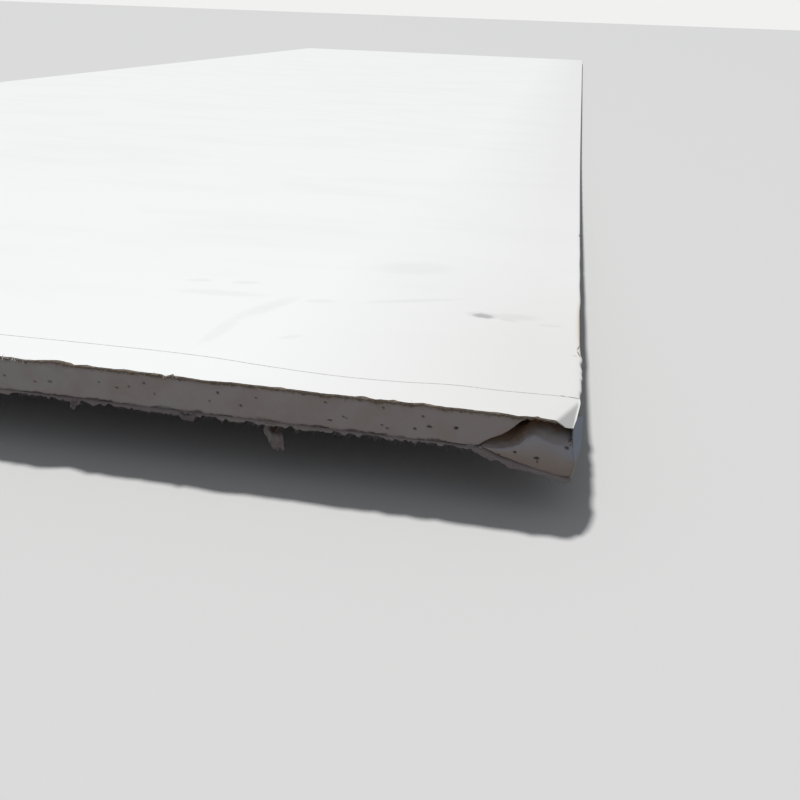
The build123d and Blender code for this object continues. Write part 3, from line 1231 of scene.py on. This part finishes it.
@dataclass(frozen=True)
class Crumbs:
    """Crumbs of gypsum that lie at the foot of the crack."""

    count: int = 40
    size: float = 0.8
    seed: int = 77
    # One has come to rest on the lip of back paper
    rolled: tuple[float, float] = (-41.25, -1.0)
    # One in three lies in front of the core: across from and to, and how far back
    in_front: tuple[float, float] = (-43, -37)
    front_back: float = -0.5
    # The others lie in the crack: across from and to, and back from and to
    in_crack: tuple[float, float] = (-38, -25)
    crack_back: tuple[float, float] = (0.3, 5)

    def make(self, finishes: Finishes) -> Piece:
        """Builds the crumbs.

        Args:
            finishes: The materials.

        Returns:
            The finished piece.
        """
        draw = np.random.default_rng(self.seed)
        crumbs = []
        for number in range(self.count):
            if number == 0:
                x, s = self.rolled
            elif number % 3 == 0:
                x, s = draw.uniform(*self.in_front), self.front_back
            else:
                x, s = draw.uniform(*self.in_crack), draw.uniform(*self.crack_back)
            bpy.ops.mesh.primitive_ico_sphere_add(subdivisions=1, radius=1)
            crumb = bpy.context.active_object
            shape = read_points(crumb) * draw.uniform(0.5, 1.0, 3) * self.size * draw.uniform(0.25, 0.55)
            past = max(SHEET.past_hinge(x, SHEET.along_hinge(s)), 0.0)
            ground = np.interp(past, CORNER.reach, CORNER.height) + SHEET.hung(x, s) + 0.45
            write_points(crumb, SHEET.place(x + shape[:, 0], s + shape[:, 1], ground + shape[:, 2]))
            for name in ("pit", "brown_tint"):
                keep_values(crumb, name, np.zeros(len(shape)))
            crumb.data.materials.append(finishes.gypsum)
            crumbs.append(crumb)
        piece = join("gypsum_crumbs", crumbs)
        face_outwards(piece)
        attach(piece, "root")
        return piece


@dataclass(frozen=True)
class FacePaper:
    """The face paper: folded round both long edges, torn at the near end, with a dog-ear."""

    coarse_columns: int = 76
    fine_columns: int = 430
    fold_columns: int = 5
    side_columns: int = 6
    return_columns: int = 3
    # The edge paper is torn along its length at this height over the broken corner
    tear_height: float = 14.3
    # The torn line at the near end has died out this far back
    tear_fades: float = 10.0
    # The fold comes unrolled between these distances back. It spreads out, and its rim curls up
    unrolled: tuple[float, float] = (29.0, 23.0)
    rim_spread: float = 0.4
    rim_curl: float = 0.55
    # Its rim is white this far from the right edge and from the near end
    white_across: float = 9.5
    white_back: float = 30.0
    # The hanging edge strip, and its torn top beside the bent corner: distances back, and heights
    strip_columns: int = 18
    strip_rows: int = 34
    strip_back: tuple[float, ...] = (0.0, 1.5, 3.0, 4.6, 6.5, 9.0, 12.0, 14.0, 17.0, 20.5, 22.0, 26.0)
    strip_top: tuple[float, ...] = (4.5, 5.5, 7.8, 10.4, 11.5, 12.4, 12.9, 12.6, 11.6, 9.7, 8.8, 8.8)
    # Depth of the scuffs in the right arris, and how far down a knock presses it for its depth
    scuff: float = 0.12
    knock_drop: float = 0.4
    # Knocks in the right arris: how far back, half length, depth
    knocks: tuple[tuple[float, float, float], ...] = (
        (128.0, 42.0, 0.7), (76.0, 5.0, -0.7), (67.0, 4.0, 0.4), (56.0, 3.0, 0.25), (47.0, 3.0, 0.3),
        (54.0, 21.0, -0.55), (27.5, 7.0, 0.45), (212.0, 6.0, 0.3), (268.0, 9.0, 0.35), (367.0, 4.0, 1.0),
    )

    def stations(self) -> Array:
        """Distances back along the sheet at which the paper has a row of vertices."""
        return spaced(
            (0, 2, 4), (2, 5, 3), (5, 35, 24), (35, 62, 10), (62, 100, 14), (100, 182, 10), (182, 360, 6),
            (360, 376, 4), (376, 400, 1), (400, 1100, 7), (1100, SHEET.run, 3),
        )

    def path(self) -> Places:
        """Draws the paper's section, from the left return over the face to the right return.

        Returns:
            Distances from the right edge, heights, and how far round the right arris each is.
        """
        turn = np.linspace(0, math.pi / 2, self.fold_columns + 1)
        radius, low, high = SHEET.edge_round, SHEET.back_paper, SHEET.thickness
        fold_x = radius * (1 - np.sin(turn))
        fold_h = radius * (1 - np.cos(turn))
        under = np.linspace(SHEET.edge_return, radius, self.return_columns, endpoint=False)
        wall = np.linspace(low + radius, high - radius, self.side_columns + 1)[1:-1]
        x = np.concatenate([under, fold_x, 0 * wall, fold_x[::-1]])
        h = np.concatenate([0 * under + low, low + fold_h, wall, high - fold_h[::-1]])
        face = end_columns(radius - SHEET.width, -radius, self.coarse_columns, self.fine_columns)[1:-1]
        rounds = np.zeros(2 * len(x) + len(face))
        start = len(x) + len(face)
        rounds[start : start + len(turn)] = turn
        return (
            np.concatenate([x - SHEET.width, face, -x[::-1]]),
            np.concatenate([h, 0 * face + high, h[::-1]]),
            rounds,
        )

    def tear(self, x: Array, s: Array, h: Array, rounds: Array) -> Places:
        """Tears the near end, unrolls the torn fold and bends the corner.

        Args:
            x: Distances from the right edge.
            s: Distances back.
            h: Heights.
            rounds: How far round the right arris each point is.

        Returns:
            The torn and bent x, s and h.
        """
        loose = ramp(s, *self.unrolled) * (rounds > 0)
        curl = self.rim_curl * (rounds / math.pi * 2) ** 2
        x = x + loose * (self.rim_spread * rounds - SHEET.edge_round - x)
        h = h + loose * (SHEET.thickness + curl - h)
        s = s + TEAR.back(x) * ramp(s, self.tear_fades, 0)
        bent = (h > self.tear_height - 0.8) & (s < 40)
        ear_x, ear_s, ear_h = EAR.bend(x, s, h)
        return np.where(bent, ear_x, x), np.where(bent, ear_s, s), np.where(bent, ear_h, h)

    def wear(self, x: Array, s: Array, h: Array) -> tuple[Array, Array]:
        """Knocks the right arris in and scuffs it.

        Args:
            x: Distances from the right edge.
            s: Distances back.
            h: Heights.

        Returns:
            The worn x and h.
        """
        arris = ramp(x, -2.5, 0) * ramp(h, 9, 14)
        for back, half, depth in self.knocks:
            part = peak(s, back, half) ** 0.5 * arris
            x = x - depth * part
            h = h - self.knock_drop * abs(depth) * part
        scuff = self.scuff * (wander(s, 5.0, 31) + wander(s, 2.6, 32) * (s < 100))
        scuff = scuff * ramp(x, -2, 0) * ramp(s, 20, 28)
        return x + np.where(s < 400, scuff, 0), h

    def whiten_rim(self, piece: Piece) -> None:
        """Makes the rim round the bent corner white, for there the tear is in the white ply.

        Args:
            piece: The thickened paper.
        """
        left = (SHEET.width / 2 - self.white_across) * MM
        front = (self.white_back - SHEET.length / 2) * MM
        for face in piece.data.polygons:
            rim = abs(face.normal.x) < 0.6 and -0.5 < face.normal.z < 0.3
            if rim and face.center.x > left and face.center.y < front:
                face.material_index = 0

    def make(self, finishes: Finishes) -> Piece:
        """Builds the paper with its hanging edge strip.

        Args:
            finishes: The materials.

        Returns:
            The finished piece.
        """
        path_x, path_h, rounds = self.path()
        stations = self.stations()
        skin = flat_grid("face_wrap", len(path_x) - 1, len(stations) - 1)
        last = int(np.argmax(rounds))
        hinge_row = int(np.searchsorted(stations, SHEET.hinge_back - 0.5))
        delete_faces(skin, lambda middle: middle.x > last and middle.y < hinge_row)
        column, row, _ = read_points(skin).round().astype(int).T
        x, s, h = self.tear(path_x[column], stations[row], path_h[column], rounds[column])
        x, h = self.wear(x, s, h)
        write_points(skin, SHEET.place(x, s, h))
        face_towards(skin, (0, -1.6, 0.04), (0, 0, 1))
        strip = self.make_strip()
        for part in (skin, strip):
            part.data.materials.append(finishes.white)
            part.data.materials.append(finishes.kraft)
        piece = join("face_paper_wrap", [skin, strip])
        thicken(piece, SHEET.face_paper, inner=1, rim=1)
        self.whiten_rim(piece)
        smooth(piece, 35)
        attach(piece, "root")
        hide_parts("face_paper")
        return piece

    def make_strip(self) -> Piece:
        """Builds the strip of edge paper that hangs with the broken corner.

        Returns:
            The strip, without its thickness or its finish.
        """
        strip = flat_grid("edge_strip", self.strip_columns, self.strip_rows)
        column, row, _ = read_points(strip).T
        s = (row / self.strip_rows) ** 1.2 * (SHEET.hinge_back + 0.4)
        low = SHEET.hung(0 * s, s) + SHEET.back_paper
        high = np.minimum(low + self.tear_height + 0.2, 14.6)
        high = np.where(s < self.strip_back[-1], np.interp(s, self.strip_back, self.strip_top), high)
        high = high + 0.12 * wander(s, 3.0, 41)
        h = low + column / self.strip_columns * (high - low)
        x = CORNER.side(s, h) + 0.05 * wander(s, 4.0, 42)
        # Painted shade on the strip's front part: bluish grey, and warmer low down
        painted_sky_shade = ramp(s, 34, 26)
        keep_values(strip, "painted_sky_shade", painted_sky_shade)
        keep_values(strip, "painted_warm_shade", painted_sky_shade * ramp(h, 1, -2))
        s = s + 0.3 * (row == 0) - 0.05 * (h - low) * ramp(s, 60, 0)
        write_points(strip, SHEET.place(x, s, h))
        face_towards(strip, (0.61, -1.8, 0.03), (1, 0, 0))
        return strip


@dataclass(frozen=True)
class KraftFringe:
    """The frayed inner plies that hang below the torn edge of the face paper."""

    coarse_columns: int = 160
    fine_columns: int = 500
    rows: int = 4
    # It hangs from this far under the face, and is between these lengths
    hangs_from: float = 0.3
    shortest: float = 0.3
    longest: float = 1.6
    waves: Waves = ((0.3, 7, 51), (0.35, 2.0, 52), (0.4, 0.7, 53))
    ply: float = 0.16

    def make(self, finishes: Finishes) -> Piece:
        """Builds the fringe.

        Args:
            finishes: The materials.

        Returns:
            The finished piece.
        """
        columns = self.coarse_columns + self.fine_columns
        piece = flat_grid("kraft_fringe", columns, self.rows)
        column, row, _ = read_points(piece).astype(int).T
        ends = end_columns(1 - SHEET.width, TEAR.core_end, self.coarse_columns, self.fine_columns)
        x = ends[column]
        down = row / self.rows
        share = np.clip(0.45 + torn(x, self.waves), 0, 1)
        length = self.shortest + (self.longest - self.shortest) * share
        # It is shorter over the broken corner
        length = length * (1 - 0.4 * ramp(x, -20, -14))
        root = SHEET.thickness - self.hangs_from
        back = TEAR.back(x)
        recess = TEAR.recess(x, root - length * down)
        # It starts inside the paper, and hangs in front of the gypsum
        inward = np.where(down > 0, np.minimum(recess, back) - 0.2, back + 0.12)
        x, s, h = EAR.bend(x, inward, root + 0 * x)
        s = s + 0.12 * wander(x, 1.5, 54) * down
        x = x + 0.3 * wander(x, 1.1, 55) * down
        write_points(piece, SHEET.place(x, s, h - length * down))
        piece.data.materials.append(finishes.kraft)
        thicken(piece, self.ply)
        face_outwards(piece)
        smooth(piece, 50)
        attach(piece, "root")
        return piece


@dataclass(frozen=True)
class BackPaper:
    """The back paper: flat under the sheet, bent down at the corner, torn to a lip in front."""

    coarse_columns: int = 140
    fine_columns: int = 430
    # The lip: its rows, its slope in degrees, its length, the least of it, and its torn line
    lip_rows: int = 5
    lip_angle: float = 58.0
    lip_size: float = 0.8
    lip_least: float = 0.25
    # The lip curls down as it gets longer, by up to this angle in radians
    lip_curl: float = 1.2
    lip_waves: Waves = ((0.35, 11, 61), (0.4, 3.1, 62), (0.45, 1.1, 63))
    # Longer rags on the lip: place, half width, how much longer
    rags: tuple[tuple[float, float, float], ...] = (
        (-246.5, 6.0, 0.8), (-209.9, 1.3, 1.8), (-202.2, 3.2, 0.9), (-176.8, 8.0, 0.8),
        (-166.8, 4.0, 0.9), (-36.0, 5.0, 2.2), (-28.0, 6.0, 0.5), (-26.3, 2.4, 0.9),
        (-17.0, 12.0, 0.6), (-8.0, 5.0, 0.3),
    )

    def lip_length(self, x: Array) -> Array:
        """How far the torn lip sticks out.

        Args:
            x: Places across the sheet.

        Returns:
            Lengths from its root to its torn edge.
        """
        line = self.lip_size + torn(x, self.lip_waves)
        for place, half, more in self.rags:
            line = line + more * peak(x, place, half) ** 0.6
        return np.maximum(line, self.lip_least)

    def make(self, finishes: Finishes) -> Piece:
        """Builds the back paper with its hanging strips.

        Args:
            finishes: The materials.

        Returns:
            The finished piece.
        """
        stations = spaced((0, 62, 20), (62, 100, 2), (100, 1100, 10), (1100, SHEET.run, 3))
        rows = len(stations) - 1 + self.lip_rows
        skin = flat_grid("back_skin", self.coarse_columns + self.fine_columns, rows)
        column, row, _ = read_points(skin).astype(int).T
        row = row - self.lip_rows
        inset = SHEET.back_inset
        x = end_columns(inset - SHEET.width, -inset, self.coarse_columns, self.fine_columns)[column]
        s = stations[np.maximum(row, 0)]
        out = np.maximum(-row, 0) / self.lip_rows * self.lip_length(x)
        curl = out * (math.radians(self.lip_angle) + 0.35 * wander(x, 5, 64))
        curl = np.minimum(curl, self.lip_curl)
        h = SHEET.hung(x, s) - np.sin(curl) * out
        s = s - np.cos(curl) * out + 0.1 * wander(x, 2, 65) * (out > 0)
        # The lip spreads to the right over the broken corner, where the paper is free
        x = x + np.where(s < 3, 0.85 * inset * ramp(x, -30, -inset) ** 2, 0)
        write_points(skin, SHEET.place(x, s, h))
        skin.data.materials.append(finishes.back)
        strips = [strip.make(finishes) for strip in STRIPS]
        face_towards(skin, (0, 0, 0), (0, 0, -1))
        thicken(skin, SHEET.back_paper - 0.02)
        piece = join("back_paper_skin", [skin, *strips])
        smooth(piece, 50)
        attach(piece, "root")
        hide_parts("back_paper")
        return piece


@dataclass(frozen=True)
class HangingStrip:
    """A torn strip of back paper that hangs below the near end."""

    middle: float
    length: float
    # Its outline and section: shares of its length, and offsets across it or along the sheet
    left: tuple[tuple[float, float], ...]
    right: tuple[tuple[float, float], ...]
    back: tuple[tuple[float, float], ...]
    # Its torn foot: shares across, and shares of its length
    foot: tuple[tuple[float, float], ...]
    # Where it is hollow and painted dark as shade: share across, share down, half size
    shaded_hollow: tuple[float, float, float] = (0.5, 0.0, 0.3)
    # The torn lines of its sides
    left_waves: Waves = ((0.2, 1.3, 71),)
    right_waves: Waves = ((0.25, 1.1, 72),)
    columns: int = 26
    rows: int = 30

    def make(self, finishes: Finishes) -> Piece:
        """Builds the strip: crumpled, and with a torn foot.

        Args:
            finishes: The materials.

        Returns:
            The strip, to be joined to the back paper.
        """
        piece = flat_grid("hanging_strip", self.columns, self.rows)
        column, row, _ = read_points(piece).T
        across, down = column / self.columns, row / self.rows
        left = np.interp(down, *zip(*self.left)) + torn(down * self.length, self.left_waves)
        right = np.interp(down, *zip(*self.right)) + torn(down * self.length, self.right_waves)
        x = self.middle + left + across * (right - left)
        fall = down * np.interp(across, *zip(*self.foot)) * self.length
        place_across, place_down, half = self.shaded_hollow
        far = np.hypot((across - place_across) / 0.4, (down - place_down) / half)
        # Crumples, and a hollow, which is also painted dark as shade
        s = np.interp(down, *zip(*self.back)) + ramp(far, 1, 0)
        s = s + 0.5 * roughness(x, fall, 0, 3.2) + 0.25 * roughness(x, fall, 0, 1.2)
        write_points(piece, SHEET.place(x, s, 0.1 - fall))
        # Painted shade: a little over the whole strip and more in the hollow, with random mottling
        painted_warm_shade = 0.25 + np.clip(1.3 - far, 0, 0.6) + 0.25 * roughness(x, fall, 0, 1.6)
        keep_values(piece, "painted_warm_shade", np.clip(painted_warm_shade, 0, 1))
        piece.data.materials.append(finishes.back)
        thicken(piece, 0.3)
        face_outwards(piece)
        return piece


STRIPS = (
    # The long strip, hollow on its right near the top
    HangingStrip(
        middle=-122.5, length=12.9,
        left=((0, -3.6), (0.11, -3.6), (0.3, -4.6), (0.55, -2.8), (0.7, -2.1), (0.82, -1.7), (1, -0.9)),
        right=((0, 1.9), (0.16, 2.8), (0.3, 3.4), (0.6, 4.3), (0.74, 4.0), (0.88, 4.3), (1, 3.6)),
        back=((0, -0.6), (0.08, 0.2), (0.2, 0.8), (0.4, -0.3), (0.7, 0.2), (1, 1.2)),
        foot=(
            (0, 0.95), (0.27, 0.95), (0.36, 0.94), (0.42, 1.05),
            (0.48, 0.93), (0.7, 0.88), (0.82, 0.97), (1, 0.96),
        ),
        shaded_hollow=(0.66, 0.24, 0.2),
    ),
    # A curl that hangs to the left, and a short wide rag
    HangingStrip(
        middle=-211.6, length=4.9,
        left=((0, -0.4), (0.5, -1.5), (0.8, -1.9), (1, -1.2)), right=((0, 2.3), (0.5, 1.5), (1, 0.5)),
        back=((0, -0.5), (0.4, -1.1), (1, -0.4)), foot=((0, 0.9), (0.5, 1.0), (1, 0.8)),
        columns=10, rows=12,
    ),
    HangingStrip(
        middle=-159.8, length=3.4,
        left=((0, -4.2), (0.7, -3.1), (1, -2.4)), right=((0, 3.8), (0.6, 3.6), (1, 3.0)),
        back=((0, -0.5), (0.4, -1.1), (1, -0.9)), foot=((0, 0.85), (0.4, 0.94), (0.8, 1.0), (1, 0.9)),
        columns=20, rows=10,
    ),
)


@dataclass(frozen=True)
class Fibres:
    """Loose fibres along a torn edge, each a thin three-sided thread."""

    name: str
    slot: Slot
    count: int
    seed: int
    # They start between these places across the sheet
    low: float
    high: float
    length: float
    thickness: float
    # The way that they lean: across, back and up
    way: tuple[float, float, float]
    # How far they stray from it, and how much they curl
    stray: float = 0.55
    curl: float = 0.6
    # The shortest and the longest, as shares of the length
    shares: tuple[float, float] = (0.4, 1.5)
    segments: int = 4

    def make(self, root: Callable[[Array], Places], finish: bpy.types.Material) -> Piece:
        """Builds the fibres.

        Args:
            root: Gives x, s and h of the edge at places across the sheet.
            finish: Their material.

        Returns:
            The finished piece.
        """
        draw = np.random.default_rng(self.seed)
        bpy.ops.object.select_all(action="DESELECT")
        bpy.ops.mesh.primitive_cylinder_add(vertices=3, radius=1, depth=2)
        thread = bpy.context.active_object
        divide_along(thread, 2, (self.segments,))
        shape = read_points(thread)
        corners = [tuple(face.vertices) for face in thread.data.polygons]
        bpy.data.objects.remove(thread)
        along = (shape[:, 2] + 1) / 2
        points = []
        faces = []
        for foot in np.stack(root(draw.uniform(self.low, self.high, self.count)), axis=-1):
            lean = np.array(self.way) + draw.normal(0, self.stray, 3)
            lean = lean / np.linalg.norm(lean)
            curl = draw.normal(0, self.curl, 3)
            long = self.length * draw.uniform(*self.shares)
            middle = foot + np.outer(along, lean * long) + np.outer(along**2, curl * long)
            # It tapers to half its thickness
            thin = self.thickness / 2 * (1 - 0.5 * along)[:, None]
            side = np.cross(lean, (0.3, 0.5, 0.8))
            side = side / np.linalg.norm(side)
            ring = shape[:, :1] * side + shape[:, 1:2] * np.cross(lean, side)
            start = len(points) * len(shape)
            points.append(middle + thin * ring)
            faces.extend(tuple(start + corner for corner in face) for face in corners)
        mesh = bpy.data.meshes.new(self.name)
        mesh.from_pydata(SHEET.place(*np.concatenate(points).T).tolist(), [], faces)
        mesh.update()
        piece = bpy.data.objects.new(self.name, mesh)
        bpy.context.scene.collection.objects.link(piece)
        mesh.materials.append(finish)
        face_outwards(piece)
        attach(piece, "root")
        return piece


def face_tear_root(x: Array) -> Places:
    """Points on the torn edge of the face paper."""
    return EAR.bend(x, TEAR.back(x) - 0.1, SHEET.thickness - 0.35 + 0 * x)


def lip_root(x: Array) -> Places:
    """Finds points near the torn edge of the back paper's lip.

    Args:
        x: Places across the sheet.

    Returns:
        x, s and h of the points.
    """
    lip = BackPaper()
    turn = math.radians(lip.lip_angle)
    long = 0.75 * lip.lip_length(x)
    return x, -math.cos(turn) * long, SHEET.hung(x, 0 * x) - math.sin(turn) * long


@dataclass(frozen=True)
class Studio:
    """The floor, the light and the camera."""

    floor_shade: str = "#D9D8D6"
    bounce_shade: str = "#8F8D8A"
    sky: str = "#E8EEF6"
    backdrop_shade: str = "#F1F1F0"
    key_strength: float = 2.8
    fill_strength: float = 0.26
    key_way: tuple[float, float, float] = (0.222, -0.377, -0.899)
    key_softness: float = 5.0
    camera_place: tuple[float, float, float] = (0.5930, -2.1204, 0.1801)
    yaw: float = -10.41
    pitch: float = 24.92
    roll: float = 2.065
    focal: float = 1.0447
    sensor: float = 36.0

    def make_floor(self) -> None:
        """Lays the floor. It is pale to the eye, and throws back less light than it shows."""
        bpy.ops.object.select_all(action="DESELECT")
        bpy.ops.mesh.primitive_plane_add(size=80)
        floor = bpy.context.active_object
        floor.name = "floor"
        material = bpy.data.materials.new("studio_floor")
        material.use_nodes = True
        tree = material.node_tree
        shader = tree.nodes["Principled BSDF"]
        seen = add(tree, "ShaderNodeLightPath")
        mixed = add(
            tree, "ShaderNodeMix",
            {
                "Factor": seen.outputs["Is Camera Ray"],
                "A": self.bounce_shade,
                "B": self.floor_shade,
            },
            data_type="RGBA",
        )
        tree.links.new(mixed.outputs["Result"], shader.inputs["Base Color"])
        shader.inputs["Roughness"].default_value = 0.9
        floor.data.materials.append(material)

    def make_light(self) -> None:
        """Adds the key light from behind on the left, and an even fill from all round."""
        way = Vector(self.key_way).normalized()
        bpy.ops.object.light_add(type="SUN")
        key = bpy.context.active_object
        key.name = "key"
        key.rotation_mode = "QUATERNION"
        key.rotation_quaternion = way.to_track_quat("-Z", "Y")
        key.data.energy = self.key_strength
        key.data.angle = math.radians(self.key_softness)
        world = bpy.data.worlds.new("studio")
        bpy.context.scene.world = world
        world.use_nodes = True
        tree = world.node_tree
        tree.nodes.clear()
        seen = add(tree, "ShaderNodeLightPath")
        fill = add(tree, "ShaderNodeBackground", {"Color": self.sky, "Strength": self.fill_strength})
        backdrop = add(tree, "ShaderNodeBackground", {"Color": self.backdrop_shade, "Strength": 1.0})
        mixed = add(
            tree, "ShaderNodeMixShader",
            {0: seen.outputs["Is Camera Ray"], 1: fill.outputs[0], 2: backdrop.outputs[0]},
        )
        add(tree, "ShaderNodeOutputWorld", {"Surface": mixed.outputs[0]})

    def make_camera(self) -> None:
        """Sets the camera where the photograph was taken from."""
        yaw, pitch, roll = (math.radians(angle) for angle in (self.yaw, self.pitch, self.roll))
        ahead = Vector(
            (math.sin(yaw) * math.cos(pitch), math.cos(yaw) * math.cos(pitch), -math.sin(pitch))
        )
        right = Vector((math.cos(yaw), -math.sin(yaw), 0))
        up = right.cross(ahead)
        across = math.cos(roll) * right + math.sin(roll) * up
        upright = -math.sin(roll) * right + math.cos(roll) * up
        turn = Matrix((across, upright, -ahead)).transposed()
        bpy.ops.object.camera_add()
        camera = bpy.context.active_object
        camera.matrix_world = Matrix.Translation(self.camera_place) @ turn.to_4x4()
        camera.data.sensor_width = self.sensor
        camera.data.lens = self.sensor * self.focal
        camera.data.clip_start = 0.01
        camera.data.clip_end = 200
        bpy.context.scene.camera = camera

    def make(self) -> None:
        """Sets up the whole studio."""
        self.make_floor()
        self.make_light()
        self.make_camera()
        bpy.context.scene.view_settings.view_transform = "Standard"


def main() -> None:
    """Builds the studio and the sheet's pieces in order."""
    logging.basicConfig(level=logging.INFO, format="%(message)s")
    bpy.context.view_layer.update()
    Studio().make()
    finishes = Finishes(
        white=WhiteFacePaper().build(),
        kraft=KraftPly().build(),
        gypsum=SetGypsum().build(),
        back=GreyBackPaper().build(),
    )
    brown = Fibres(
        "fringe_fibres", Slot.FACE, count=700, seed=91, low=DETAIL_FROM, high=-10.0,
        length=0.8, thickness=0.15, way=(0, -0.4, -1.0),
    )
    white = Fibres(
        "torn_curls", Slot.FACE, count=80, seed=93, low=-244.0, high=-229.0,
        length=0.7, thickness=0.2, way=(0, -0.5, -0.2),
    )
    tufts = Fibres(
        "torn_tuft", Slot.FACE, count=30, seed=94, low=-169.0, high=-163.0,
        length=0.7, thickness=0.2, way=(0, -0.5, -0.1),
    )
    pale = Fibres(
        "lip_fibres", Slot.BACK, count=700, seed=92, low=DETAIL_FROM, high=-2.0,
        length=1.0, thickness=0.16, way=(0, -0.5, -0.7),
    )
    pieces = [
        GypsumCore().make(finishes),
        CORNER.make(finishes),
        Crumbs().make(finishes),
        FacePaper().make(finishes),
        KraftFringe().make(finishes),
        BackPaper().make(finishes),
        brown.make(face_tear_root, finishes.kraft),
        white.make(face_tear_root, finishes.white),
        tufts.make(face_tear_root, finishes.white),
        pale.make(lip_root, finishes.back),
    ]
    for piece in pieces:
        log.info("%s: %d faces", piece.name, len(piece.data.polygons))


if __name__ == "__main__":
    main()
